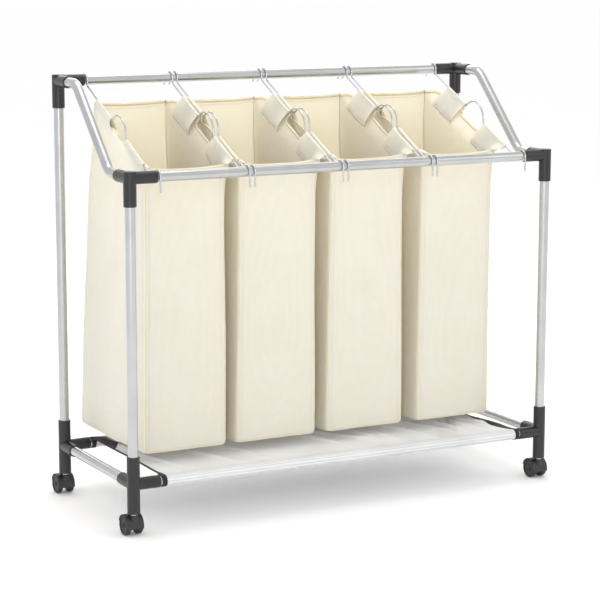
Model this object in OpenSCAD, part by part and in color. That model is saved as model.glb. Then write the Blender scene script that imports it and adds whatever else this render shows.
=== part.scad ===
// Laundry sorter on wheels: a tube frame on four swivel casters that carries four lift-off bags.
// X runs along the rails, Y from the front to the back and Z up. Sizes are in millimetres.

/* [Frame] */
// Distance between the left and right post axes
frame_w = 900; // [800:5:1100]
// Distance between the front and rear post axes
frame_d = 336; // [280:2:420]
// Height of the front top rail above the bottom rails
front_h = 564; // [460:2:680]
// Height of the rear top rail above the bottom rails
rear_h = 718; // [596:2:864]
// Outside diameter of the frame tube
tube_d = 19; // [15.5:0.1:23]
// Wall of the frame tube
tube_wall = 0.8; // [0.6:0.1:1.5]
// Straight run at each end of a side tube, from the post axis to the bend
side_run = 74; // [70:1:90]
// Centre line radius of the bends in a side tube
bend_r = 40; // [30:1:50]

/* [Corner connectors] */
// Reach of each socket, from the hub centre to its mouth
socket_reach = 52; // [44:1:63]
// Wall of a socket around its tube
socket_wall = 2; // [1.6:0.1:3]
// Extra radius of the upright socket over the others
upright_extra = 0.5; // [0.3:0.1:1]
// Radial clearance between a tube and its socket
tube_fit = 0.05; // [0.02:0.01:0.1]
// Size of the webs between two sockets
web_size = 11; // [6:1:14]
// Thickness of the webs
web_t = 6; // [3:0.5:9]
// Rounding of the socket mouths and the hub's flat ends
socket_round = 1.2; // [0.5:0.1:1.4]
// Length of the caster leg below the bottom rail axis
leg_len = 55; // [46:1:66]

/* [Casters] */
// Wheel diameter
wheel_d = 37; // [30:0.5:50]
// Width of one wheel
wheel_w = 10.5; // [8:0.5:14]
// Distance of the axle behind the stem
caster_trail = 12; // [11:0.5:16]
// Stem diameter
stem_d = 8; // [7:0.5:9]
// Depth of the stem in the leg
stem_up = 30; // [20:1:38]
// Thickness of the stem collar
collar_h = 2.4; // [1.5:0.1:4]
// Axle diameter
axle_d = 5; // [4:0.5:6]
// Wall of the hood around the stem
stem_wall = 2.2; // [1.8:0.1:3]
// Thickness of the hood over the wheels
hood_t = 1.4; // [1:0.1:2.5]
// Gap between the wheels and the hood
wheel_gap = 0.6; // [0.4:0.1:1.2]
// Rounding of the wheel treads
tread_round = 2.5; // [1:0.1:3.5]
// Width of the raised rim round a wheel's dished face
rim_w = 4; // [2.5:0.5:6]
// Depth of the dish in a wheel's outer face
dish = 1.2; // [0.6:0.1:2]
// Radial running clearance of a stem or an axle
running_fit = 0.05; // [0.02:0.01:0.1]

/* [Hangers] */
// Wire diameter
wire_d = 3.5; // [3:0.1:4.5]
// Gap between a hook and its rail
hook_gap = 0.3; // [0.2:0.1:1]
// Gap between the end hangers and the corner sockets
end_gap = 1.5; // [1:0.5:6]
// Distance between the wires of two neighbouring bags
pair_gap = 11; // [10.5:0.5:16]
// How far the inner pairs are slid along the rails, to the right if positive
pair_slide = -12; // [-20:1:20]
// Height of the finger arch measured as its rise angle
arch_angle = 65; // [45:1:75]
// Length of the finger arch along the wire
arch_span = 78; // [65:1:95]
// How far the arch lies behind the middle of the wire
arch_offset = 5; // [0:1:10]
// Length of the hook end in front of the front rail, below the rail axis
front_tail = 28; // [18:1:40]
// Length of the hook end behind the rear rail
rear_tail = 30; // [18:1:36]

/* [Bags] */
// Thickness of the bag cloth with its lining
cloth = 1.6; // [1.2:0.1:2.5]
// How much narrower a bag is than the spacing of its wires
bag_ease = 6; // [5:1:12]
// Distance of the front panel behind the front rail axis
front_gap = 83; // [60:1:90]
// Gap between the rear panel's top edge and the rear top rail
rear_gap = 3.5; // [2:0.5:20]
// How much further back the rear panel stands at the floor of the bag
rear_flare = 56; // [0:1:60]
// Gap between the shelf and the floor of the bag
shelf_gap = 20; // [10:1:40]
// Depth of the bag's rim below the wires
rim_drop = 22; // [18:1:30]
// Length of each sleeve along the wire
sleeve_len = 86; // [70:1:90]
// Height of the sewn flap below the wire
flap_h = 42; // [36:1:50]
// Radius of the upright corners
bag_corner = 8; // [4:1:14]

/* [Shelf] */
// Thickness of the shelf sleeves around the bottom rails
shelf_sleeve = 1; // [0.8:0.1:1.5]
// Thickness of the mesh sheet between the rails
shelf_t = 0.7; // [0.5:0.1:0.8]
// Width of the dark binding at each end of the shelf
binding_w = 12; // [8:1:25]
// Gap between the binding and the corner sockets
binding_gap = 3; // [1:0.5:8]

/* [Hidden] */
$fn = 48;
SIDES = ["left", "right"];
ENDS = ["front", "rear"];
CORNERS = [for (e = ENDS) for (s = SIDES) str(e, "_", s)];
BAGS = [1, 2, 3, 4];

// Small distances that keep cuts and joints clean
past = 1;
stem_play = 0.3;
side_play = 0.4;
press = 0.02;
land = 0.8;
bend_lap = 0.2;
bend_neck = 0.99;
shelf_play = 0.2;

// Caster stack, from the floor up to the bottom rails
wheel_r = wheel_d / 2;
hood_web = stem_d + 2 * stem_wall;
hood_w = hood_web + 2 * (side_play + wheel_w);
hood_round = 0.85 * hood_t;
axle_boss = 7;
hood_lip = 15;
well_r = wheel_r + wheel_gap;
hood_r = well_r + hood_t;
hood_top = wheel_r + hood_r + stem_play;
leg_bottom = hood_top + stem_play + collar_h;
stem_low = wheel_r - press;
low_rail_z = leg_bottom + leg_len;

// Frame
post_y = frame_d / 2;
post_x = frame_w / 2;
front_rail_z = low_rail_z + front_h;
rear_rail_z = low_rail_z + rear_h;
tube_r = tube_d / 2;
tube_end = tube_r + socket_wall + past;
socket_r = tube_r + tube_fit + socket_wall;
upright_r = socket_r + upright_extra;

// Side tube: two equal bends with a straight tangent to both
side_rise = rear_rail_z - front_rail_z;
side_span = frame_d - 2 * side_run;
bend_rise = side_rise - 2 * bend_r;
bend_reach = norm([side_span, bend_rise]);
side_angle = atan2(bend_rise, side_span) + asin(2 * bend_r / bend_reach);
side_straight = side_span * cos(side_angle) + bend_rise * sin(side_angle);

// Hangers: hooks concentric with the rails, joined by one straight slope
hook_r = tube_r + hook_gap + wire_d / 2;
rear_bend_r = 5;
front_bend_r = 4;
arch_bend_r = 5;
rear_lead = 40;
rear_drop = 10.5;
rear_corner = [post_y - hook_r, rear_rail_z - rear_drop];
slope_run = 2 * (post_y - hook_r);
front_dip = 8;
front_corner = [-post_y + hook_r, front_rail_z - front_dip];
slope_rise = rear_corner[1] - front_corner[1];
slope = atan2(slope_rise, slope_run);
slope_len = norm([slope_run, slope_rise]);
rear_trim = rear_bend_r * tan((90 - slope) / 2);
front_trim = front_bend_r * tan((90 + slope) / 2);
arch_start = slope_len / 2 - arch_offset - arch_span / 2;
arch_end = arch_start + arch_span;
arch_r = (arch_span / 2 - land * cos(arch_angle)) / sin(arch_angle) - arch_bend_r;
tail_start = [
    post_y + hook_r * cos(rear_lead) + rear_tail * sin(rear_lead),
    rear_rail_z + hook_r * sin(rear_lead) - rear_tail * cos(rear_lead)
];

// Places of the wires along the rails
end_wire = post_x - socket_reach - end_gap - wire_d / 2;
function pair_x(k) = -end_wire + k * end_wire / 2 + pair_slide;
function left_wire(b) = b == 1 ? -end_wire : pair_x(b - 1) + pair_gap / 2;
function right_wire(b) = b == 4 ? end_wire : pair_x(b) - pair_gap / 2;
function wire_x(b, s) = s == "left" ? left_wire(b) : right_wire(b);
function bag_x(b) = (left_wire(b) + right_wire(b)) / 2;

// Bags: all of one width, set by the narrowest pair of wires
bag_w = min([for (b = BAGS) right_wire(b) - left_wire(b)]) - bag_ease;
bag_z = low_rail_z + tube_r + shelf_sleeve + shelf_gap;
bag_front = -post_y + front_gap;
bag_rear_top = post_y - tube_r - rear_gap;
bag_rear_low = bag_rear_top + rear_flare;
rim_fall = rim_drop / cos(slope);
function wire_z(y) = front_corner[1] + (y - front_corner[0]) * tan(slope);
function rim_z(y) = wire_z(y) - rim_fall;
sleeve_bore = wire_d / 2 + side_play;
sleeve_r = sleeve_bore + cloth;

// Shelf
shelf_in = tube_r + shelf_play;
shelf_out = shelf_in + shelf_sleeve;
shelf_half = post_x - socket_reach - binding_gap;

// The whole object is centred on the origin in Y
tail_reach = tail_start[0] + wire_d / 2 * cos(rear_lead);
reach_rear = max(post_y + caster_trail + hood_r, bag_rear_low, tail_reach);
reach_front = max(post_y + hook_r + wire_d / 2, post_y + upright_r);
centre_y = (reach_front - reach_rear) / 2;

function side_of(name) = name == "left" ? -1 : 1;
function end_of(name) = name == "front" ? -1 : 1;
function top_z(e) = e == "front" ? front_rail_z : rear_rail_z;

module at_corner(e, s) {
    translate([side_of(s) * post_x, centre_y + end_of(e) * post_y, 0]) children();
}

module along_x() {
    rotate([90, 0, 90]) children();
}

// Round bar with rounded ends, standing on the origin
module rounded_bar(r, h, edge) {
    rotate_extrude() {
        square([r - edge, h]);
        translate([0, edge]) square([r, h - 2 * edge]);
        for (end = [edge, h - edge])
            translate([r - edge, end]) circle(r = edge);
    }
}

// A straight length of frame tube
module tube(length) {
    difference() {
        cylinder(r = tube_r, h = length);
        translate([0, 0, -past]) cylinder(r = tube_r - tube_wall, h = length + 2 * past);
    }
}

// Round bar bent to an arc: it starts along +X, turns in the XY plane and laps into its neighbours
module bend(r, radius, turn) {
    side = turn < 0 ? -1 : 1;
    start = turn < 0 ? 90 + turn : -90;
    lap = asin(bend_lap / radius);
    translate([0, side * radius, 0])
        rotate([0, 0, start - lap])
            rotate_extrude(angle = abs(turn) + 2 * lap, $fn = 96)
                translate([radius, 0]) circle(r = r * bend_neck);
}

// A round bar made of steps: each step is [straight, turn, bend radius]
module bent_bar(r, steps, i = 0) {
    if (i < len(steps)) {
        straight = steps[i][0];
        turn = steps[i][1];
        radius = steps[i][2];
        side = turn < 0 ? -1 : 1;
        rotate([0, 90, 0]) cylinder(r = r, h = straight);
        translate([straight, 0, 0]) {
            if (turn != 0)
                bend(r, radius, turn);
            translate([radius * sin(abs(turn)), side * radius * (1 - cos(turn)), 0])
                rotate([0, 0, turn]) bent_bar(r, steps, i + 1);
        }
    }
}

// ---- Frame tubes ----

module post(e, s) {
    color("silver")
        at_corner(e, s)
            translate([0, 0, low_rail_z + tube_end]) tube(top_z(e) - low_rail_z - 2 * tube_end);
}

module long_rail(e, z) {
    color("silver")
        translate([-post_x + tube_end, centre_y + end_of(e) * post_y, z])
            rotate([0, 90, 0]) tube(frame_w - 2 * tube_end);
}

module short_rail(s) {
    color("silver")
        translate([side_of(s) * post_x, centre_y - post_y + tube_end, low_rail_z])
            rotate([-90, 0, 0]) tube(frame_d - 2 * tube_end);
}

module side_tube(s) {
    run = side_run - tube_end;
    color("silver")
        translate([side_of(s) * post_x, centre_y - post_y + tube_end, front_rail_z])
            along_x() difference() {
                bent_bar(tube_r, [
                    [run, side_angle, bend_r],
                    [side_straight, -side_angle, bend_r],
                    [run, 0, 0]
                ]);
                translate([-past, 0, 0])
                    bent_bar(tube_r - tube_wall, [
                        [run + past, side_angle, bend_r],
                        [side_straight, -side_angle, bend_r],
                        [run + past, 0, 0]
                    ]);
            }
}

// ---- Corner connectors ----

// A triangular web between two arms that leave the hub at right angles
module web() {
    size = socket_r + web_size;
    translate([0, 0, -web_t / 2])
        linear_extrude(height = web_t) polygon([[0, 0], [size, 0], [0, size]]);
}

// One hub with arms toward the long rail and the side, and an upright socket
module connector(e, s, z, up, down) {
    in_x = -side_of(s);
    in_y = -end_of(e);
    color("dimgray")
        at_corner(e, s)
            translate([0, 0, z]) difference() {
                union() {
                    translate([0, 0, -down]) rounded_bar(upright_r, up + down, socket_round);
                    rotate([0, 90 * in_x, 0]) rounded_bar(socket_r, socket_reach, socket_round);
                    rotate([-90 * in_y, 0, 0]) rounded_bar(socket_r, socket_reach, socket_round);
                    scale([in_x, in_y, 1]) connector_webs(up, down);
                }
                rotate([0, 90 * in_x, 0]) tube_bore();
                rotate([-90 * in_y, 0, 0]) tube_bore();
                if (up == socket_reach)
                    tube_bore();
                if (down == socket_reach)
                    rotate([180, 0, 0]) tube_bore();
                if (down == leg_len)
                    translate([0, 0, -leg_len - past])
                        cylinder(d = stem_d + 2 * press, h = stem_up + press + past);
            }
}

module connector_webs(up, down) {
    web();
    if (up > upright_r + past) {
        rotate([90, 0, 0]) web();
        rotate([90, 0, 90]) web();
    }
    if (down > upright_r + past) {
        rotate([-90, 0, 0]) web();
        rotate([0, 90, 0]) web();
    }
}

module tube_bore() {
    translate([0, 0, tube_end - tube_fit])
        cylinder(r = tube_r + tube_fit, h = socket_reach - tube_end + tube_fit + past);
}

module top_corner(e, s) {
    connector(e, s, top_z(e), upright_r, socket_reach);
}

module bottom_corner(e, s) {
    connector(e, s, low_rail_z, socket_reach, leg_len);
}

// ---- Shelf ----

// Sleeves round both bottom rails with the sheet stretched between them
module shelf_section() {
    sheet_low = shelf_in + shelf_play / 4;
    difference() {
        union() {
            for (side = [-1, 1])
                translate([side * post_y, 0]) circle(r = shelf_out);
            translate([-post_y, sheet_low]) square([frame_d, shelf_t]);
        }
        for (side = [-1, 1])
            translate([side * post_y, 0]) circle(r = shelf_in);
    }
}

module shelf_strip(from_x, to_x) {
    translate([from_x, centre_y, low_rail_z])
        along_x() linear_extrude(height = to_x - from_x) shelf_section();
}

module shelf_mesh() {
    reach = shelf_half - binding_w - press;
    color("whitesmoke") shelf_strip(-reach, reach);
}

module shelf_binding(s) {
    inner = shelf_half - binding_w;
    color("black") {
        if (s == "left")
            shelf_strip(-shelf_half, -inner);
        else
            shelf_strip(inner, shelf_half);
    }
}

// ---- Casters ----

// The stem is fixed in the leg and the hood turns round it
module caster_stem(e, s) {
    color("gainsboro")
        at_corner(e, s) {
            translate([0, 0, stem_low]) cylinder(d = stem_d, h = leg_bottom + stem_up - stem_low);
            translate([0, 0, leg_bottom - collar_h]) cylinder(r = hood_web / 2, h = collar_h);
        }
}

// Children lie in the YZ plane of the axle and are extruded to a width across it
module across(w) {
    translate([0, caster_trail, wheel_r])
        along_x() translate([0, 0, -w / 2]) linear_extrude(height = w) children();
}

// A round shell over both wheels, open below, with a web between them that holds the stem and the axle
module caster_hood(e, s) {
    boss_r = axle_d / 2 + axle_boss;
    big = 3 * hood_r;
    block = stem_d / 2 + stem_wall;
    color("dimgray")
        at_corner(e, s) difference() {
            union() {
                intersection() {
                    translate([-hood_w / 2, caster_trail, wheel_r])
                        rotate([0, 90, 0]) rounded_bar(hood_r, hood_w, hood_round);
                    across(hood_w + past) polygon([
                        [0, 0], [big * cos(hood_lip), big * sin(hood_lip)], [big, big], [-big, big],
                        [-big * cos(hood_lip), -big * sin(hood_lip)]
                    ]);
                }
                across(hood_web) {
                    circle(r = boss_r);
                    translate([-caster_trail - block, -boss_r / 2])
                        square([caster_trail + block, boss_r / 2 + hood_r]);
                }
                translate([0, 0, wheel_r]) cylinder(r = block + past, h = hood_top - wheel_r);
            }
            for (side = [-1, 1])
                translate([side * (hood_web + hood_w) / 2, 0, 0]) across(hood_w) circle(r = well_r);
            translate([0, 0, stem_low - stem_play])
                cylinder(d = stem_d + 2 * running_fit, h = hood_top);
            across(hood_w + past) circle(d = axle_d + 2 * press);
        }
}

module caster_axle(e, s) {
    color("gray") at_corner(e, s) across(hood_w - 2 * (dish + side_play)) circle(d = axle_d);
}

// Wheel with rounded tread edges and a dished outer face
module wheel(e, s, side) {
    mid = side_of(side) * (hood_web / 2 + side_play + wheel_w / 2);
    color("black")
        at_corner(e, s) translate([mid, caster_trail, wheel_r])
            rotate([0, 90 * side_of(side), 0]) difference() {
                translate([0, 0, -wheel_w / 2]) rounded_bar(wheel_r, wheel_w, tread_round);
                translate([0, 0, -wheel_w]) cylinder(r = axle_d / 2 + running_fit, h = 2 * wheel_w);
                rotate_extrude() translate([axle_d, wheel_w / 2 - dish])
                    square([wheel_r - rim_w - axle_d, dish + past]);
            }
}

// ---- Hangers ----

module hanger(b, s) {
    steps = [
        [rear_tail, 180 - rear_lead, hook_r],
        [rear_rail_z - rear_corner[1] - rear_trim, slope - 90, rear_bend_r],
        [arch_start - rear_trim, -arch_angle, arch_bend_r],
        [land, 2 * arch_angle, arch_r],
        [land, -arch_angle, arch_bend_r],
        [slope_len - arch_end - front_trim, -90 - slope, front_bend_r],
        [front_dip - front_trim, 180, hook_r],
        [front_tail, 0, 0]
    ];
    color("lightsteelblue")
        translate([wire_x(b, s), centre_y + tail_start[0], tail_start[1]])
            along_x() rotate([0, 0, 90 + rear_lead]) bent_bar(wire_d / 2, steps, $fn = 24);
}

// ---- Bags ----

// Solid between the four walls, drawn in by an inset and raised past the rim
module bag_body(inset, rise) {
    r = bag_corner - inset;
    edge = bag_corner;
    low = bag_z + inset;
    high = wire_z(bag_rear_top) + rise;
    hull() {
        for (x = [edge - bag_w / 2, bag_w / 2 - edge]) {
            translate([x, bag_front + edge, low]) cylinder(r = r, h = high - low, $fn = 32);
            translate([x, bag_rear_low - edge, low]) cylinder(r = r, h = past, $fn = 32);
            translate([x, bag_rear_top - edge, high - past]) cylinder(r = r, h = past, $fn = 32);
        }
    }
}

// Everything above the sloping rim
module above_rim() {
    size = 2 * frame_d;
    translate([0, 0, rim_z(0)])
        rotate([slope, 0, 0]) translate([-size / 2, -size / 2, 0]) cube([size, size, size]);
}

// Cloth folded round a wire and sewn to the side panel below it
module sleeve(b, s, from) {
    to_panel = bag_x(b) + side_of(s) * (bag_w - cloth) / 2 - wire_x(b, s);
    half = cloth / 2;
    foot = cloth / 4;
    start_y = rear_corner[0] - from * cos(slope);
    translate([wire_x(b, s) - bag_x(b), start_y, wire_z(start_y)])
        rotate([90 + slope, 0, 0]) linear_extrude(height = sleeve_len) difference() {
            union() {
                circle(r = sleeve_r, $fn = 32);
                polygon([[-half, 0], [half, 0], [to_panel + foot, -flap_h], [to_panel - foot, -flap_h]]);
            }
            circle(r = sleeve_bore, $fn = 32);
        }
}

module bag(b) {
    gap = 1;
    color("bisque")
        translate([bag_x(b), centre_y, 0]) {
            difference() {
                bag_body(0, 0);
                bag_body(cloth, past);
                above_rim();
            }
            for (s = SIDES) {
                sleeve(b, s, arch_start - gap - sleeve_len);
                sleeve(b, s, arch_end + gap);
            }
        }
}

for (e = ENDS)
    for (s = SIDES) {
        corner = str(e, "_", s);
        post(e, s);
        top_corner(e, s);
        bottom_corner(e, s);
        caster_stem(e, s);
        caster_hood(e, s);
        caster_axle(e, s);
        for (side = SIDES)
            wheel(e, s, side);
    }
for (e = ENDS) {
    long_rail(e, top_z(e));
    long_rail(e, low_rail_z);
}
for (s = SIDES) {
    side_tube(s);
    short_rail(s);
    shelf_binding(s);
}
shelf_mesh();
for (b = BAGS) {
    bag(b);
    for (s = SIDES)
        hanger(b, s);
}
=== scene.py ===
import math

import bmesh
import bpy
import numpy as np
from mathutils import Euler, Matrix, Vector, noise


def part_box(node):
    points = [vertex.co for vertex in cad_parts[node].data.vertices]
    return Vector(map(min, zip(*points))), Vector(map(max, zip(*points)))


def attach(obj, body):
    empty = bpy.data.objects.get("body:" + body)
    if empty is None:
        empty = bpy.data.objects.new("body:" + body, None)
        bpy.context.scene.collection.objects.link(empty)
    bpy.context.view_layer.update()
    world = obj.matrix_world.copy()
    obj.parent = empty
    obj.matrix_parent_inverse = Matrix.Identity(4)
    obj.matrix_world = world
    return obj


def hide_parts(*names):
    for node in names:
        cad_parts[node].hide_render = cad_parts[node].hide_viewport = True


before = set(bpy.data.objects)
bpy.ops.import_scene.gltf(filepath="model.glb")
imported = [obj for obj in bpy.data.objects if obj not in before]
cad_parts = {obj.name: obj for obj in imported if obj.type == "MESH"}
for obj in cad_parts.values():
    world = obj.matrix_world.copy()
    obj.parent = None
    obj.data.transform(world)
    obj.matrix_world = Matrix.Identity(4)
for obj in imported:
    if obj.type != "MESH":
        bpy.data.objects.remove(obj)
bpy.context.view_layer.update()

MM = 0.001
SIDES = {"left": -1, "right": 1}
BAGS = (1, 2, 3, 4)

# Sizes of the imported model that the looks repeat
TUBE_R = 9.5 * MM
WIRE_R = 1.75 * MM
HOOK_PLAY = 0.3 * MM
HOOK_R = TUBE_R + HOOK_PLAY + WIRE_R
REAR_DROP = 10.5 * MM
FRONT_DROP = 8 * MM
ARCH_SPAN = 78 * MM
ARCH_OFFSET = 5 * MM
SLEEVE_LEN = 86 * MM
REAR_SLEEVE_LEN = 72 * MM
BAG_EASE = 6 * MM
FRONT_GAP = 83 * MM
REAR_GAP = 3.5 * MM
REAR_FLARE = 56 * MM
FLOOR_GAP = 21 * MM
FRONT_CORNER_RISE = 9 * MM
REAR_CORNER_DROP = 43 * MM
SHELF_PLAY = 0.2 * MM

# Sizes that only the looks have
CLOTH_T = 1.1 * MM
HEM_T = 2.4 * MM
HEM_H = 6 * MM
CORNER_R = 9 * MM
REAR_SPREAD = 5 * MM
REAR_BULGE = 8 * MM
FRONT_LEAN = 8 * MM
STITCH = 4 * MM
NET_T = 0.5 * MM
TAPE_T = 1.2 * MM
FLAP_HEM_T = 1.5 * MM
RIM_LEAN = 8 * MM
SIDE_SAG = 6 * MM
FLOOR_SAG = 4 * MM
SLEEVE_GAP = 1 * MM
SLEEVE_PLAY = 0.3 * MM
FLAP_TAPER = 22 * MM
NET_INSET = 2 * MM
NET_SEAM = 14 * MM
NET_SEAM_DIP = 1.6 * MM

# Spacing of the points on the bags' cloth, and the distance at which their edges are welded
CELL = 5 * MM
WELD = 0.05 * MM

# Keeps a division from failing at zero and a comparison from failing by rounding
TINY = 1e-9

# Angles in degrees above which an edge stays sharp
NODE_CREASE = 35
CLOTH_CREASE = 50
CREASE = 60

# Rows of points across a sleeve: on its outer face, over the wire and on its inner face
OUTER_ROWS = 7
FOLD_ROWS = 7
INNER_ROWS = 11

# Points of the shelf: round each rail, along the net and across a binding
ARC_POINTS = 15
NET_COLUMNS = 260
TAPE_COLUMNS = 5
SHELF_CELL = 6 * MM

# The camera, fitted to the posts and rails: place in metres, lens in millimetres, turns in degrees
CAMERA_AT = (-1.916, -3.545, 1.073)
CAMERA_LENS = 123.3
CAMERA_DOWN = 9.813
CAMERA_ROLL = -0.10
CAMERA_TURN = -28.307


def middle(node):
    low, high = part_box(node)
    return (Vector(low) + Vector(high)) / 2


FRONT_RAIL = middle("top_rail_front")
REAR_RAIL = middle("top_rail_rear")
LOW_FRONT = middle("bottom_rail_front")
LOW_REAR = middle("bottom_rail_rear")
WIRE_X = {(b, s): middle(f"hanger_{b}_{s}").x for b in BAGS for s in SIDES}
BAG_W = min(WIRE_X[b, "right"] - WIRE_X[b, "left"] for b in BAGS) - BAG_EASE
BAG_X = {b: (WIRE_X[b, "right"] + WIRE_X[b, "left"]) / 2 for b in BAGS}

# The straight slope of every hanger wire, in the YZ plane, from its rear end to its front end
REAR_END = np.array([REAR_RAIL.y - HOOK_R, REAR_RAIL.z - REAR_DROP])
FRONT_END = np.array([FRONT_RAIL.y + HOOK_R, FRONT_RAIL.z - FRONT_DROP])
SLOPE_LEN = float(np.linalg.norm(FRONT_END - REAR_END))
ALONG = (FRONT_END - REAR_END) / SLOPE_LEN
BELOW = np.array([-ALONG[1], ALONG[0]])
ARCH_FROM = SLOPE_LEN / 2 - ARCH_OFFSET - ARCH_SPAN / 2
ARCH_TO = ARCH_FROM + ARCH_SPAN

# The bag's box
BAG_FLOOR = LOW_FRONT.z + TUBE_R + FLOOR_GAP
BAG_FRONT = FRONT_RAIL.y + FRONT_GAP
BAG_REAR = REAR_RAIL.y - TUBE_R - REAR_GAP
BAG_REAR_LOW = BAG_REAR + REAR_FLARE
FRONT_CORNER_Z = FRONT_RAIL.z + FRONT_CORNER_RISE
REAR_CORNER_Z = REAR_RAIL.z - REAR_CORNER_DROP


# ---- Small tools ----


def smooth(x):
    """A soft step from 0 to 1."""
    x = np.clip(x, 0, 1)
    return x * x * (3 - 2 * x)


def lerp(a, b, t):
    """The value at t between a and b."""
    return a + (b - a) * t


def wobble(points, size, seed):
    """Smooth noise from -1 to 1 at each point, with features of that size."""
    flat = np.asarray(points).reshape(-1, 3) / size + seed * 17.3
    values = np.array([noise.noise(Vector(p)) for p in flat])
    return values.reshape(np.asarray(points).shape[:-1])


def normals_of(grid):
    """The normal at each point of a grid of points."""
    across = np.gradient(grid, axis=0)
    along = np.gradient(grid, axis=1)
    n = np.cross(across, along)
    return n / np.maximum(np.linalg.norm(n, axis=-1, keepdims=True), TINY)


class Shape:
    """Collects points and faces for one mesh."""

    def __init__(self):
        self.points, self.faces, self.count = [], [], 0

    def add(self, points, faces):
        points = np.asarray(points, float).reshape(-1, 3)
        self.points.append(points)
        self.faces += [tuple(i + self.count for i in f) for f in faces]
        self.count += len(points)

    def grid(self, grid, wrap=False):
        rows, cols = grid.shape[:2]
        ring = rows if wrap else rows - 1
        faces = [
            (i * cols + j, ((i + 1) % rows) * cols + j, ((i + 1) % rows) * cols + j + 1, i * cols + j + 1)
            for i in range(ring)
            for j in range(cols - 1)
        ]
        self.add(grid, faces)

    def mesh(self, name, weld=0.0):
        mesh = bpy.data.meshes.new(name)
        mesh.from_pydata(np.concatenate(self.points).tolist(), [], self.faces)
        bm = bmesh.new()
        bm.from_mesh(mesh)
        if weld:
            bmesh.ops.remove_doubles(bm, verts=bm.verts, dist=weld)
            bmesh.ops.dissolve_degenerate(bm, edges=bm.edges, dist=weld / 2)
        bmesh.ops.recalc_face_normals(bm, faces=bm.faces)
        bm.to_mesh(mesh)
        bm.free()
        return mesh


def place(name, mesh, material, body, crease=None):
    """Puts a mesh in the scene as a piece that rides on a body."""
    piece = bpy.data.objects.new(name, mesh)
    bpy.context.scene.collection.objects.link(piece)
    mesh.materials.append(material)
    mesh.shade_smooth()
    if crease:
        mesh.set_sharp_from_angle(angle=math.radians(crease))
    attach(piece, body)
    return piece


def apply_modifiers(piece):
    """Makes what the modifiers show the piece's own mesh."""
    shown = piece.evaluated_get(bpy.context.evaluated_depsgraph_get())
    mesh = bpy.data.meshes.new_from_object(shown)
    old = piece.data
    piece.modifiers.clear()
    piece.data = mesh
    bpy.data.meshes.remove(old)


def thicken(piece, thickness):
    """Gives a surface its thickness, equally to both sides."""
    solid = piece.modifiers.new("thickness", "SOLIDIFY")
    solid.thickness = thickness
    solid.offset = 0
    solid.use_even_offset = False
    apply_modifiers(piece)


def sweep(shape, path, outward, width, height, sides=10):
    """A closed bead along a path. It is width across and height along outward."""
    path, outward = np.asarray(path), np.asarray(outward)
    tangent = np.gradient(path, axis=0)
    tangent /= np.linalg.norm(tangent, axis=1, keepdims=True)
    side = np.cross(tangent, outward)
    side /= np.linalg.norm(side, axis=1, keepdims=True)
    up = np.cross(side, tangent)
    turn = np.linspace(0, 2 * math.pi, sides, endpoint=False)
    rings = (
        path[None]
        + np.cos(turn)[:, None, None] * side[None] * width / 2
        + np.sin(turn)[:, None, None] * up[None] * height / 2
    )
    shape.grid(rings, wrap=True)
    cols, start = len(path), shape.count - sides * len(path)
    for j, order in ((0, 1), (cols - 1, -1)):
        shape.faces.append(tuple(start + i * cols + j for i in range(sides))[::order])


def stitches(shape, path, outward, lift=CLOTH_T / 2):
    """A row of short raised stitches along a path, on the side that outward points to."""
    path, outward = np.asarray(path), np.asarray(outward)
    gone = np.concatenate([[0], np.cumsum(np.linalg.norm(np.diff(path, axis=0), axis=1))])
    for at in np.arange(STITCH, gone[-1] - STITCH / 2, STITCH):
        a, b = (np.array([np.interp(v, gone, path[:, k]) for k in range(3)])
                for v in (at - 0.32 * STITCH, at + 0.32 * STITCH))
        up = np.array([np.interp(at, gone, outward[:, k]) for k in range(3)])
        up /= max(np.linalg.norm(up), TINY)
        across = np.cross(b - a, up)
        across /= max(np.linalg.norm(across), TINY)
        points = [a + up * lift]
        for t in (0.25, 0.75):
            mid = a + (b - a) * t + up * (lift + 0.1 * MM)
            points += [
                mid + across * 0.4 * MM, mid + up * 0.35 * MM,
                mid - across * 0.4 * MM, mid - up * 0.35 * MM,
            ]
        points.append(b + up * lift)
        faces = [(0, 1 + k, 1 + (k + 1) % 4) for k in range(4)]
        faces += [(1 + k, 5 + k, 5 + (k + 1) % 4, 1 + (k + 1) % 4) for k in range(4)]
        faces += [(9, 5 + (k + 1) % 4, 5 + k) for k in range(4)]
        shape.add(points, faces)


def facing(grid, direction):
    """The normals of a grid, turned to the side that direction points to."""
    n = normals_of(grid)
    return n * np.where((n * direction).sum(-1, keepdims=True) < 0, -1, 1)


# ---- Materials ----


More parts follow.
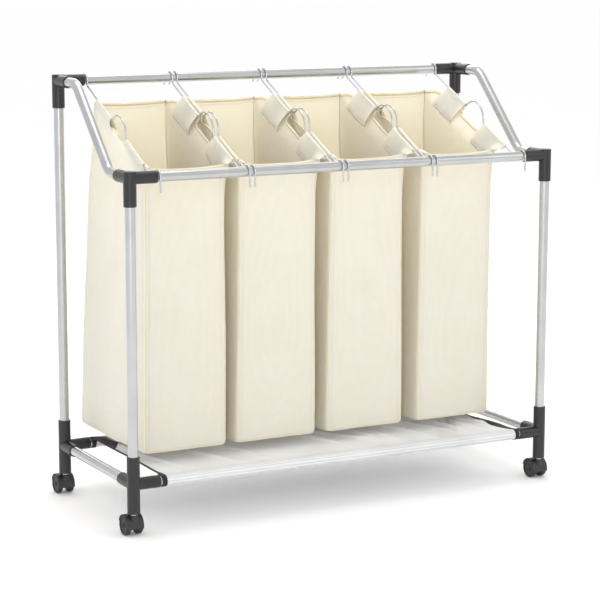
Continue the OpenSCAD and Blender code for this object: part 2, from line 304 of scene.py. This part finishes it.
class Nodes:
    """A new material with a Principled shader, and short calls for its nodes."""

    def __init__(self, name, **values):
        self.material = bpy.data.materials.new(name)
        self.material.use_nodes = True
        self.tree = self.material.node_tree
        self.shader = self.tree.nodes["Principled BSDF"]
        for key, value in values.items():
            self.shader.inputs[key.replace("_", " ")].default_value = value
        self.place = self.add("ShaderNodeTexCoord").outputs["Object"]

    def add(self, kind, **settings):
        node = self.tree.nodes.new(kind)
        for key, value in settings.items():
            setattr(node, key, value)
        return node

    def link(self, a, b):
        self.tree.links.new(a, b)

    def mapping(self, scale=(1, 1, 1), turn=(0, 0, 0)):
        node = self.add("ShaderNodeMapping")
        node.inputs["Scale"].default_value = scale
        node.inputs["Rotation"].default_value = turn
        self.link(self.place, node.inputs["Vector"])
        return node.outputs["Vector"]

    def noise(self, size, detail=3.0, vector=None, rough=0.5):
        node = self.add("ShaderNodeTexNoise")
        node.inputs["Scale"].default_value = 1 / size
        node.inputs["Detail"].default_value = detail
        node.inputs["Roughness"].default_value = rough
        self.link(vector or self.place, node.inputs["Vector"])
        return node.outputs["Fac"]

    def wave(self, size, direction, vector=None, bend=0.0):
        node = self.add("ShaderNodeTexWave", bands_direction=direction, wave_profile="SIN")
        node.inputs["Scale"].default_value = 0.314 / size
        node.inputs["Distortion"].default_value = bend
        self.link(vector or self.place, node.inputs["Vector"])
        return node.outputs["Fac"]

    def math(self, kind, a, b):
        node = self.add("ShaderNodeMath", operation=kind)
        for socket, value in zip(node.inputs, (a, b)):
            if isinstance(value, (int, float)):
                socket.default_value = value
            else:
                self.link(value, socket)
        return node.outputs[0]

    def ramp(self, value, stops):
        node = self.add("ShaderNodeValToRGB")
        ramp = node.color_ramp
        while len(ramp.elements) < len(stops):
            ramp.elements.new(0.5)
        for element, (at, colour) in zip(ramp.elements, stops):
            element.position = at
            element.color = (*colour, 1) if len(colour) == 3 else (*colour * 3, 1)
        self.link(value, node.inputs["Fac"])
        return node.outputs["Color"]

    def mix(self, factor, a, b, kind="MIX"):
        node = self.add("ShaderNodeMix", data_type="RGBA", blend_type=kind)
        for socket, value in ((node.inputs[0], factor), (node.inputs[6], a), (node.inputs[7], b)):
            if isinstance(value, (int, float)):
                socket.default_value = value
            elif isinstance(value, tuple):
                socket.default_value = (*value, 1)
            else:
                self.link(value, socket)
        return node.outputs[2]

    def colour(self, value):
        self.link(value, self.shader.inputs["Base Color"])

    def roughness(self, value, low, high):
        node = self.add("ShaderNodeMapRange")
        node.inputs["To Min"].default_value = low
        node.inputs["To Max"].default_value = high
        self.link(value, node.inputs["Value"])
        self.link(node.outputs["Result"], self.shader.inputs["Roughness"])

    def bump(self, height, distance, strength=1.0, before=None):
        node = self.add("ShaderNodeBump")
        node.inputs["Strength"].default_value = strength
        node.inputs["Distance"].default_value = distance
        self.link(height, node.inputs["Height"])
        if before:
            self.link(before, node.inputs["Normal"])
        self.link(node.outputs["Normal"], self.shader.inputs["Normal"])
        return node.outputs["Normal"]


def weave(n, pitch):
    """Threads over and under each other on upright and level faces alike."""
    diagonal = n.mapping(turn=(0, 0, math.radians(45)))
    warp = n.wave(pitch * math.sqrt(2), "X", diagonal)
    weft = n.wave(pitch, "Z")
    depth = n.wave(pitch * math.sqrt(2), "Y", diagonal)
    return n.math("MULTIPLY", n.math("ADD", warp, depth), n.math("ADD", weft, 0.35))


def cloth_material(name, light, dark, pitch=0.9 * MM, through=1.0):
    n = Nodes(name, Sheen_Weight=0.15, Sheen_Roughness=0.5, Specular_IOR_Level=0.25)
    n.shader.inputs["Subsurface Weight"].default_value = through
    n.shader.inputs["Subsurface Radius"].default_value = (1.0, 0.95, 0.85)
    n.shader.inputs["Subsurface Scale"].default_value = 4 * MM
    threads = weave(n, pitch)
    cloud = n.noise(70 * MM, 4)
    base = n.ramp(cloud, [(0.3, dark), (0.7, light)])
    shade = n.ramp(threads, [(0.0, (0.93,)), (0.8, (1.0,))])
    slub = n.ramp(n.noise(6 * MM, 5, n.mapping(scale=(1, 1, 0.2))), [(0.35, (0.99,)), (0.65, (1.0,))])
    n.colour(n.mix(1.0, n.mix(1.0, base, shade, "MULTIPLY"), slub, "MULTIPLY"))
    n.roughness(cloud, 0.78, 0.92)
    fine = n.bump(threads, 0.12 * MM, 0.6)
    n.bump(n.noise(9 * MM, 5, rough=0.6), 0.6 * MM, 0.35, before=fine)
    return n.material


def tube_material():
    n = Nodes("silver_coat", Metallic=1.0, Coat_Weight=0.2, Coat_Roughness=0.15)
    grain = n.noise(0.7 * MM, 3)
    cloud = n.noise(60 * MM, 3)
    n.colour(n.mix(1.0, n.ramp(cloud, [(0.35, (0.51, 0.515, 0.52)), (0.7, (0.57, 0.575, 0.58))]),
                   n.ramp(grain, [(0.3, (0.95,)), (0.7, (1.0,))]), "MULTIPLY"))
    n.roughness(cloud, 0.22, 0.30)
    n.bump(grain, 0.05 * MM, 0.35)
    return n.material


def wire_material():
    n = Nodes("bright_wire", Metallic=1.0)
    grain = n.noise(2.5 * MM, 4)
    n.colour(n.ramp(grain, [(0.3, (0.50, 0.51, 0.53)), (0.7, (0.66, 0.67, 0.69))]))
    n.roughness(grain, 0.16, 0.28)
    n.bump(n.noise(0.6 * MM, 2), 0.04 * MM, 0.3)
    return n.material


def steel_material():
    n = Nodes("bright_steel", Metallic=1.0)
    turned = n.noise(0.8 * MM, 2, n.mapping(scale=(0.2, 0.2, 1)))
    n.colour(n.ramp(turned, [(0.3, (0.60, 0.60, 0.60)), (0.7, (0.75, 0.75, 0.76))]))
    n.roughness(turned, 0.15, 0.3)
    n.bump(turned, 0.04 * MM, 0.3)
    return n.material


def plastic_material(name, shade, low, high, grain):
    n = Nodes(name, Specular_IOR_Level=0.5)
    cloud = n.noise(25 * MM, 4)
    fine = n.noise(grain, 3)
    bright = tuple(c * 1.35 for c in shade)
    n.colour(n.ramp(cloud, [(0.3, shade), (0.75, bright)]))
    n.roughness(cloud, low, high)
    n.bump(fine, 0.08 * MM, 0.4)
    return n.material


def net_material():
    n = Nodes("net", Roughness=0.6, Sheen_Weight=0.2)
    pitch = 2.2 * MM
    threads = n.math("MAXIMUM", n.wave(pitch, "X"), n.wave(pitch, "Y"))
    cloud = n.noise(80 * MM, 3)
    n.colour(n.ramp(cloud, [(0.3, (0.78, 0.79, 0.80)), (0.7, (0.86, 0.87, 0.88))]))
    alpha = n.add("ShaderNodeMapRange")
    alpha.inputs["To Min"].default_value = 0.35
    alpha.inputs["To Max"].default_value = 0.85
    n.link(threads, alpha.inputs["Value"])
    n.link(alpha.outputs["Result"], n.shader.inputs["Alpha"])
    n.bump(threads, 0.2 * MM, 0.5)
    return n.material


CREAM = cloth_material("bag_cloth", (0.90, 0.815, 0.665), (0.88, 0.79, 0.625))
TRIM = cloth_material("bag_trim", (0.88, 0.79, 0.59), (0.84, 0.74, 0.53), 0.7 * MM)
THREAD = cloth_material("bag_thread", (0.80, 0.73, 0.57), (0.72, 0.65, 0.48), 0.4 * MM)
SILVER = tube_material()
WIRE = wire_material()
STEEL = steel_material()
CONNECTOR = plastic_material("connector_plastic", (0.014, 0.014, 0.015), 0.28, 0.4, 0.9 * MM)
CASTER = plastic_material("caster_plastic", (0.022, 0.022, 0.023), 0.38, 0.5, 0.7 * MM)
WHEEL = plastic_material("wheel_plastic", (0.018, 0.018, 0.019), 0.45, 0.6, 0.6 * MM)
NET = net_material()
TAPE = cloth_material("binding_tape", (0.022, 0.022, 0.024), (0.014, 0.014, 0.016), 0.8 * MM, through=0.0)


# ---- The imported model's own pieces ----


def dress_nodes():
    """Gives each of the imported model's own nodes its material."""
    looks = {
        "post_": SILVER, "top_rail": SILVER, "bottom_rail": SILVER, "side_tube": SILVER,
        "top_corner": CONNECTOR, "bottom_corner": CONNECTOR, "caster_stem": STEEL,
        "caster_axle": STEEL, "caster_hood": CASTER, "wheel_": WHEEL, "hanger_": WIRE,
    }
    for name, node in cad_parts.items():
        for start, material in looks.items():
            if name.startswith(start):
                for slot in node.material_slots:
                    slot.material = material
                if not node.material_slots:
                    node.data.materials.append(material)
                node.data.shade_smooth()
                node.data.set_sharp_from_angle(angle=math.radians(NODE_CREASE))


# ---- Bags ----


def at_wire(s, d):
    """Y and Z at a distance s along the slope of the wires and d below it."""
    return REAR_END[0] + ALONG[0] * s + BELOW[0] * d, REAR_END[1] + ALONG[1] * s + BELOW[1] * d


def from_wire(y, z):
    """The distance along the slope and below it of a point."""
    dy, dz = y - REAR_END[0], z - REAR_END[1]
    return dy * ALONG[0] + dz * ALONG[1], dy * BELOW[0] + dz * BELOW[1]


REAR_S, REAR_D = from_wire(BAG_REAR, REAR_CORNER_Z)
FRONT_S, FRONT_D = from_wire(BAG_FRONT - RIM_LEAN, FRONT_CORNER_Z)

# Depths below the wire: where a side panel's plain part ends, how far a flap hangs, how far the flare reaches
RIM_D = 16 * MM
FLAP_D = 42 * MM
FLARE_D = 46 * MM
SLEEVES = (
    (ARCH_FROM - SLEEVE_GAP - REAR_SLEEVE_LEN, ARCH_FROM - SLEEVE_GAP),
    (ARCH_TO + 2 * SLEEVE_GAP, ARCH_TO + SLEEVE_GAP + SLEEVE_LEN),
)

# The rows of points up a panel, from 0 at the floor to 1 at the rim
ROWS = int((REAR_CORNER_Z - BAG_FLOOR) / CELL)
T = np.linspace(0, 1, ROWS + 1)


def wall_x(side, front, h):
    """How far out a corner seam is at a height, from 0 at the floor to 1 at the rim."""
    lean = np.where(np.asarray(side) < 0, FRONT_LEAN, FRONT_LEAN / 4)
    at_front = BAG_W / 2 - 1.5 * MM * (1 - h) - lean * smooth(h)
    at_rear = BAG_W / 2 - 2 * MM + REAR_SPREAD * (1 - h) - 10 * MM * smooth((h - 0.72) / 0.28)
    return np.where(front, at_front, at_rear)


def wall_y(front, h):
    """How far forward or back the front or rear panel is at a height."""
    bulge = 3 * MM * np.sin(math.pi * h) + REAR_BULGE * (1 - smooth(h / 0.7))
    return np.where(front, BAG_FRONT, lerp(BAG_REAR_LOW, BAG_REAR, h) + bulge)


def corner(side, end):
    """The line of an upright corner seam, from the floor to the rim."""
    front = end == "front"
    x, y = wall_x(side, front, T), wall_y(front, T)
    if front:
        y = y - RIM_LEAN * smooth((T - 0.93) / 0.07)
    z = lerp(BAG_FLOOR, FRONT_CORNER_Z if front else REAR_CORNER_Z, T)
    return np.stack([side * x, y, z], -1)


def round_off(points):
    """Rounds the upright corners and the bottom edges, as soft cloth does."""
    x, y, z = np.moveaxis(points, -1, 0)
    front = y < (BAG_FRONT + BAG_REAR) / 2
    h = np.clip((z - BAG_FLOOR) / (np.where(front, FRONT_CORNER_Z, REAR_CORNER_Z) - BAG_FLOOR), 0, 1)
    way = np.stack([np.sign(x), np.where(front, -1, 1), -np.ones_like(x)], -1)
    past = np.stack([
        np.abs(x) - wall_x(x, front, h), (y - wall_y(front, h)) * way[..., 1], BAG_FLOOR - z
    ], -1)
    q = np.clip(past / CORNER_R + 1, 0, 1)
    size = np.maximum(np.linalg.norm(q, axis=-1, keepdims=True), TINY)
    pull = q - q / size * q.max(-1, keepdims=True)
    return points - way * pull * CORNER_R * (1 - smooth((h - 0.86) / 0.12))[..., None]


def in_sleeve(s, soft=5 * MM):
    """1 within a sleeve's length of wire and 0 in the finger gap and beyond the ends."""
    return sum(smooth((s - a) / soft + 1) * smooth((b - s) / soft + 1) for a, b in SLEEVES)


def mouth(s):
    """1 at the open ends of the sleeves, falling to 0 inside them."""
    return max(math.exp(-abs(s - e) / (14 * MM)) for pair in SLEEVES for e in pair)


def base_depth(s):
    """How far below the wire a side panel's plain part ends."""
    return RIM_D + (REAR_D - RIM_D) * (1 - smooth((s - REAR_S) / (26 * MM))) + (FRONT_D - RIM_D) * (
        1 - smooth((FRONT_S - s) / (24 * MM)))


def half_width(s, d, inner):
    """Half the width of the fold of cloth round the wire."""
    ease = np.clip(1 - d / FLAP_D, 0, 1)
    belly = 2.7 * MM + 1.6 * MM * np.sin(math.pi * np.clip(d / (24 * MM), 0, 1))
    open_end = mouth(s) * (5.5 if inner else 0.6) * MM * np.sin(math.pi * np.clip(d / (40 * MM), 0, 1))
    return belly * ease ** 0.6 + open_end


def flare(b, side, s, d, base_x):
    """How far a side panel is drawn out towards its wire."""
    name = "left" if side < 0 else "right"
    reach = abs(WIRE_X[b, name] - BAG_X[b])
    depth = np.minimum(FLARE_D, base_depth(s) + (FLARE_D - RIM_D) * np.minimum(
        smooth((s - REAR_S) / (30 * MM)), smooth((FRONT_S - s) / (26 * MM))))
    pull = 0.8 + 0.2 * in_sleeve(s, 16 * MM)
    return (reach - base_x) * pull * smooth(1 - d / depth)


def side_columns():
    """Places along the slope where a side panel has a column of points."""
    ends = [e for pair in SLEEVES for e in pair]
    cuts = sorted([REAR_S, FRONT_S, *[e for e in ends if e < FRONT_S]])
    columns = [REAR_S]
    for a, b in zip(cuts, cuts[1:]):
        steps = max(2, round((b - a) / CELL))
        columns += list(np.linspace(a, b, steps + 1)[1:])
    return np.array(columns)


COLUMNS = side_columns()


def side_panel(b, side):
    """The plain part of a side panel, as columns of points from rear to front."""
    front, rear = corner(side, "front"), corner(side, "rear")
    columns = []
    for s in COLUMNS:
        a = (s - REAR_S) / (FRONT_S - REAR_S)
        by, bz = at_wire(s, base_depth(s))
        low = lerp(rear[0], front[0], a)
        y = lerp(low[1], by, T)
        z = lerp(low[2], bz, T)
        for line, weight in ((front, smooth((a - 0.75) / 0.25)), (rear, smooth((0.25 - a) / 0.25))):
            straight = lerp(line[0], line[-1], T[:, None])
            y = y + (line[:, 1] - straight[:, 1]) * weight
        base = lerp(np.abs(rear[:, 0]), np.abs(front[:, 0]), a)
        d = (y - REAR_END[0]) * BELOW[0] + (z - REAR_END[1]) * BELOW[1]
        sag = -SIDE_SAG * math.sin(math.pi * a) ** 0.7 * np.sin(math.pi * np.clip(T * 1.05, 0, 1)) ** 0.7
        fold = in_sleeve(s, 1 * MM) * half_width(s, d, False) * (d < FLAP_D)
        x = base + sag + flare(b, side, s, d, base) + fold
        columns.append(np.stack([side * x, y, z], -1))
    return np.array(columns)


def sleeve_columns(first, last):
    """Places along the slope where a sleeve has a column of points."""
    inside = [s for s in COLUMNS if first - TINY <= s <= last + TINY]
    if last > FRONT_S:
        inside += list(np.linspace(FRONT_S, last, 5)[1:])
    return np.array(inside)


def sleeve(b, side, first, last):
    """Cloth from a side panel's top, over the wire and down its inner face, as columns of points."""
    name = "left" if side < 0 else "right"
    reach = abs(WIRE_X[b, name] - BAG_X[b])
    radius = WIRE_R + SLEEVE_PLAY + CLOTH_T / 2
    columns = []
    for s in sleeve_columns(first, last):
        past = max(0.0, (s - FRONT_S) / (last - FRONT_S)) if last > FRONT_S else 0.0
        low = lerp(base_depth(min(s, FRONT_S)), 7 * MM, past)
        a = min(1.0, (s - REAR_S) / (FRONT_S - REAR_S))
        base = lerp(abs(corner(side, "rear")[-1, 0]), abs(corner(side, "front")[-1, 0]), a)
        points = []
        for d in np.linspace(low, 0, OUTER_ROWS):
            x = base + flare(b, side, min(s, FRONT_S), d, base) + half_width(s, d, False)
            points.append((x, d))
        top = points[-1][0] - reach
        for turn in np.linspace(0, math.pi, FOLD_ROWS + 2)[1:-1]:
            points.append((
                reach + lerp(top, radius, smooth(turn)) * math.cos(turn),
                -radius * math.sin(turn),
            ))
        deep = FLAP_D
        if last > FRONT_S:
            deep *= lerp(1, 0.2, smooth((s - (FRONT_S - FLAP_TAPER)) / (last - FRONT_S + FLAP_TAPER)))
        for d in np.linspace(0, deep, INNER_ROWS):
            drawn = base + flare(b, side, min(s, FRONT_S), d, base)
            x = drawn - half_width(s, d, True) - 1.6 * MM * smooth(d / FLAP_D)
            points.append((x, d))
        column = []
        for x, d in points:
            y, z = at_wire(s, d)
            column.append((side * x, y, z))
        columns.append(column)
    grid = np.array(columns)
    # Puckers across the wire. The outer face stays clear of the next bag and the fold stays round the wire
    outer = [0, 0.1, 0.25, 0.3, 0.25, 0.15, 0.08]
    fold = [0.06] * FOLD_ROWS
    inner = [0.1, 0.5, 0.9, *[1.0] * (INNER_ROWS - 3)]
    along = np.stack([grid[..., 1], grid[..., 2] * 0.3, np.full(grid.shape[:2], float(side))], -1)
    grid[..., 0] += wobble(along, 17 * MM, 40 + b) * 1.9 * MM * np.array(outer + fold + inner)
    return grid


def end_panel(end):
    """The front or the rear panel, as columns of points from left to right."""
    front = end == "front"
    left, right = corner(-1, end), corner(1, end)
    count = round(BAG_W / CELL)
    dip = 6 * MM if front else 3 * MM
    depth = -4 * MM if front else 3 * MM
    columns = []
    for u in np.linspace(0, 1, count + 1):
        column = lerp(left, right, u)
        level = 1 - abs(2 * u - 1) ** 3
        column[:, 2] -= T * dip * level
        if front:
            pull = left[:, 1] - lerp(left[0, 1], left[-1, 1] + RIM_LEAN, T)
            column[:, 1] -= pull * level
        belly = math.sin(math.pi * u) ** 0.8 * np.sin(math.pi * T) ** 0.6
        column[:, 1] += belly * depth
        columns.append(column)
    return np.array(columns)


def floor_panel():
    """The bag's floor, as lines of points from rear to front, from the left one to the right one."""
    a = (COLUMNS - REAR_S) / (FRONT_S - REAR_S)
    left = lerp(corner(-1, "rear")[0], corner(-1, "front")[0], a[:, None])
    count = round(BAG_W / CELL)
    columns = []
    for u in np.linspace(0, 1, count + 1):
        line = left.copy()
        line[:, 0] *= 1 - 2 * u
        line[:, 2] -= FLOOR_SAG * math.sin(math.pi * u) * np.sin(math.pi * a)
        columns.append(line)
    return np.array(columns)


def crumple(grid, b, strength=1.0):
    """Moves a panel's points as hanging cloth does: broad waves, long drapes and small puckers."""
    out = round_off(grid)
    world = grid + np.array([BAG_X[b], 0, 0])
    tall = world * np.array([1, 1, 0.35])
    for axis, seed in ((0, 1), (1, 2)):
        broad = wobble(tall, 95 * MM, seed + 10 * b) * 2.2 * MM
        drape = wobble(world * np.array([1, 1, 0.12]), 34 * MM, seed + 10 * b + 3) * 0.5 * MM
        small = wobble(world, 16 * MM, seed + 10 * b + 5) * 0.35 * MM
        out[..., axis] += (broad + drape + small) * strength
    out[..., 2] += wobble(world, 60 * MM, 7 + 10 * b) * 0.6 * MM * strength
    return out


def bead(seams, path, outward):
    """A bound seam along an edge of the bag."""
    sweep(seams, path + outward * 0.6 * MM, outward, 2.4 * MM, 3.6 * MM)


def place_moved(name, shape, material, b, crease, weld=0.0):
    """Puts a shape in the scene as a piece of one bag, at that bag's place along the rails."""
    mesh = shape.mesh(name, weld)
    mesh.transform(Matrix.Translation((BAG_X[b], 0, 0)))
    return place(name, mesh, material, f"bag_{b}", crease)


def make_bag(b):
    """One bag: its cloth, its hems, its bound seams and its stitching."""
    cloth, rims, flaps, seams, thread = Shape(), Shape(), Shape(), Shape(), Shape()
    rows = max(1, round(HEM_H / CELL))
    for end, out in (("front", -1), ("rear", 1)):
        grid = crumple(end_panel(end), b)
        cloth.grid(grid)
        rims.grid(grid[:, -rows - 1:])
        for way in (out, -out):
            normal = facing(grid, (0, way, 0))
            stitches(thread, grid[:, -rows - 2], normal[:, -rows - 2])
        for column in (2, -3):
            stitches(thread, grid[column], facing(grid, (0, out, 0))[column])
        outward = np.tile([0, 0.7 * out, -0.7], (len(grid), 1))
        bead(seams, grid[:, 0], outward)
    cloth.grid(crumple(floor_panel(), b))
    for side in (-1, 1):
        panel = crumple(side_panel(b, side), b)
        cloth.grid(panel)
        for first, last in ((REAR_S, SLEEVES[0][0]), (SLEEVES[0][1], SLEEVES[1][0])):
            bare = (COLUMNS >= first - TINY) & (COLUMNS <= last + TINY)
            rims.grid(panel[bare][:, -rows - 1:])
        for column in (2, -3):
            stitches(thread, panel[column], facing(panel, (side, 0, 0))[column])
        bead(seams, panel[:, 0], np.tile([side * 0.7, 0, -0.7], (len(panel), 1)))
        for end, out in (("front", -1), ("rear", 1)):
            path = crumple(corner(side, end)[None], b)[0]
            bead(seams, path, np.tile([side * 0.7, 0.7 * out, 0], (len(path), 1)))
        for first, last in SLEEVES:
            grid = crumple(sleeve(b, side, first, last), b)
            cloth.grid(grid)
            flaps.grid(grid[:, -2:])
            for way in (side, -side):
                stitches(thread, grid[1:-1, -3], facing(grid, (way, 0, 0))[1:-1, -3])
            stitches(thread, grid[1:-1, 1], facing(grid, (side, 0, 0))[1:-1, 1])
    name = f"bag_{b}"
    piece = place_moved(f"{name}_cloth", cloth, CREAM, b, CLOTH_CREASE, weld=WELD)
    thicken(piece, CLOTH_T)
    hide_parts(name)
    rim = place_moved(f"{name}_rim", rims, TRIM, b, CREASE)
    thicken(rim, HEM_T)
    flap = place_moved(f"{name}_flap_hems", flaps, CREAM, b, CREASE)
    thicken(flap, FLAP_HEM_T)
    seam = place_moved(f"{name}_seams", seams, TRIM, b, CREASE)
    stitch = place_moved(f"{name}_stitching", thread, THREAD, b, CREASE)


# ---- Shelf ----


SHELF_R = TUBE_R + SHELF_PLAY + NET_T
SHELF_EDGE = {"left": -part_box("shelf_binding_left")[0][0], "right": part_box("shelf_binding_right")[1][0]}
SHELF_PULL = {"left": 3 * MM, "right": 15 * MM}


def shelf_profile(radius):
    """The path of the net from its rear seam, round both rails, to its front seam. Each point is
    Y, Z and how far it has come from the rear rail to the front one, from 0 to 1."""
    wrap = math.radians(215)
    points = []
    for turn in np.linspace(wrap, 0, ARC_POINTS):
        points.append((LOW_REAR.y + radius * math.sin(turn), LOW_REAR.z + radius * math.cos(turn), 0.0))
    first = (LOW_REAR.y - NET_SEAM, LOW_REAR.z + radius - NET_SEAM_DIP, 0.0)
    span = LOW_REAR.y - LOW_FRONT.y
    for a in np.linspace(0, 1, round(span / SHELF_CELL) + 1)[1:-1]:
        points.append((LOW_REAR.y - span * a, LOW_REAR.z + radius, a))
    for turn in np.linspace(0, wrap, ARC_POINTS):
        points.append((LOW_FRONT.y - radius * math.sin(turn), LOW_FRONT.z + radius * math.cos(turn), 1.0))
    last = (LOW_FRONT.y + NET_SEAM, LOW_FRONT.z + radius - NET_SEAM_DIP, 1.0)
    return np.array([first, *points, last])


def shelf_edge(side, a):
    """How far from the middle the shelf's end is. The pull of the cloth draws it in between the rails."""
    return SHELF_EDGE[side] - SHELF_PULL[side] * np.sin(math.pi * a) ** 0.6


def binding_width(side, a):
    """How far in from the shelf's end a binding reaches.
    The left one curls, and widens near the rear rail."""
    if side == "right":
        return lerp(9 * MM, 15 * MM, smooth(np.sin(math.pi * a) * 3))
    curled = lerp(9 * MM, 5 * MM, smooth(np.sin(math.pi * a) * 3))
    return curled + 20 * MM * smooth((0.32 - a) / 0.1) * smooth(a / 0.03)


def shelf_height(x, y, a):
    """Tension wrinkles: ridges from front to back with a slight slant."""
    slant = np.stack([x + 0.3 * y, y * 0.12, np.zeros_like(x)], -1)
    free = np.sin(math.pi * a) ** 0.5
    folds = 1 - smooth(np.abs(wobble(slant, 70 * MM, 31)) / 0.075)
    return (wobble(slant, 45 * MM, 33) * 2 * MM + folds * 6 * MM - 1.5 * MM) * free


def shelf_grid(radius, from_x, to_x, count):
    """Points across the shelf between two edges, each of them a value for every point of the profile."""
    profile = shelf_profile(radius)
    y, z, a = profile.T
    columns = []
    for u in np.linspace(0, 1, count + 1):
        x = lerp(from_x, to_x, u)
        columns.append(np.stack([x, y, z + shelf_height(x, y, a)], -1))
    return np.array(columns)


def make_shelf():
    """The net and the binding at each end of it."""
    a = shelf_profile(SHELF_R)[:, 2]
    left, right = -shelf_edge("left", a), shelf_edge("right", a)
    shape = Shape()
    shape.grid(shelf_grid(SHELF_R, left + NET_INSET, right - NET_INSET, NET_COLUMNS))
    net = place("shelf_net", shape.mesh("shelf_net"), NET, "frame", CREASE)
    thicken(net, NET_T)
    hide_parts("shelf_mesh")
    for side, sign in SIDES.items():
        edge = sign * shelf_edge(side, a)
        shape = Shape()
        shape.grid(shelf_grid(SHELF_R + NET_T, edge, edge - sign * binding_width(side, a), TAPE_COLUMNS))
        name = f"shelf_tape_{side}"
        tape = place(name, shape.mesh(name), TAPE, "frame", CREASE)
        thicken(tape, TAPE_T)
        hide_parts(f"shelf_binding_{side}")


# ---- Camera, floor and light ----


def make_camera():
    data = bpy.data.cameras.new("camera")
    camera = bpy.data.objects.new("camera", data)
    bpy.context.scene.collection.objects.link(camera)
    data.lens = CAMERA_LENS
    data.sensor_width = 36
    data.clip_end = 60
    camera.location = CAMERA_AT
    turns = (90 - CAMERA_DOWN, CAMERA_ROLL, CAMERA_TURN)
    camera.rotation_euler = Euler([math.radians(turn) for turn in turns], "XYZ")
    bpy.context.scene.camera = camera


def area_light(name, at, aim, size, power):
    data = bpy.data.lights.new(name, "AREA")
    data.shape = "RECTANGLE"
    data.size, data.size_y = size
    data.energy = power
    light = bpy.data.objects.new(name, data)
    bpy.context.scene.collection.objects.link(light)
    light.visible_camera = False
    light.location = at
    light.rotation_euler = (Vector(aim) - Vector(at)).to_track_quat("-Z", "Y").to_euler()


def make_studio():
    """A white world that is a little darker in reflections, a pale floor and four soft lights."""
    scene = bpy.context.scene
    scene.view_settings.view_transform = "Standard"
    world = bpy.data.worlds.new("studio")
    scene.world = world
    world.use_nodes = True
    tree = world.node_tree
    back = tree.nodes["Background"]
    back.inputs["Color"].default_value = (1, 1, 1, 1)
    mirrored = tree.nodes.new("ShaderNodeBackground")
    mirrored.inputs["Color"].default_value = (1, 1, 1, 1)
    mirrored.inputs["Strength"].default_value = 0.9
    back.inputs["Strength"].default_value = 1.0
    rays = tree.nodes.new("ShaderNodeLightPath")
    mix = tree.nodes.new("ShaderNodeMixShader")
    tree.links.new(rays.outputs["Is Glossy Ray"], mix.inputs[0])
    tree.links.new(back.outputs[0], mix.inputs[1])
    tree.links.new(mirrored.outputs[0], mix.inputs[2])
    tree.links.new(mix.outputs[0], tree.nodes["World Output"].inputs["Surface"])

    size = 30
    mesh = bpy.data.meshes.new("floor")
    corners = [(-size, -size, 0), (size, -size, 0), (size, size, 0), (-size, size, 0)]
    mesh.from_pydata(corners, [], [(0, 1, 2, 3)])
    floor = bpy.data.objects.new("floor", mesh)
    scene.collection.objects.link(floor)
    n = Nodes("pale_floor", Roughness=0.9, Specular_IOR_Level=0.0)
    n.colour(n.ramp(n.noise(0.4, 2), [(0.3, (0.985, 0.985, 0.985)), (0.7, (0.995, 0.995, 0.995))]))
    mesh.materials.append(n.material)

    area_light("left_box", (-2.3, -3.9, 1.5), (0, 0, 0.4), (0.9, 2.0), 34)
    area_light("right_box", (2.8, -2.6, 2.2), (0, 0, 0.4), (0.9, 2.0), 9)
    area_light("back_box", (1.2, 3.0, 2.2), (0, 0, 0.45), (2.6, 1.4), 22)
    area_light("top_box", (0, 0.4, 3.6), (0, 0, 0), (2.2, 1.8), 26)


make_camera()
make_studio()
dress_nodes()
make_shelf()
for bag in BAGS:
    make_bag(bag)
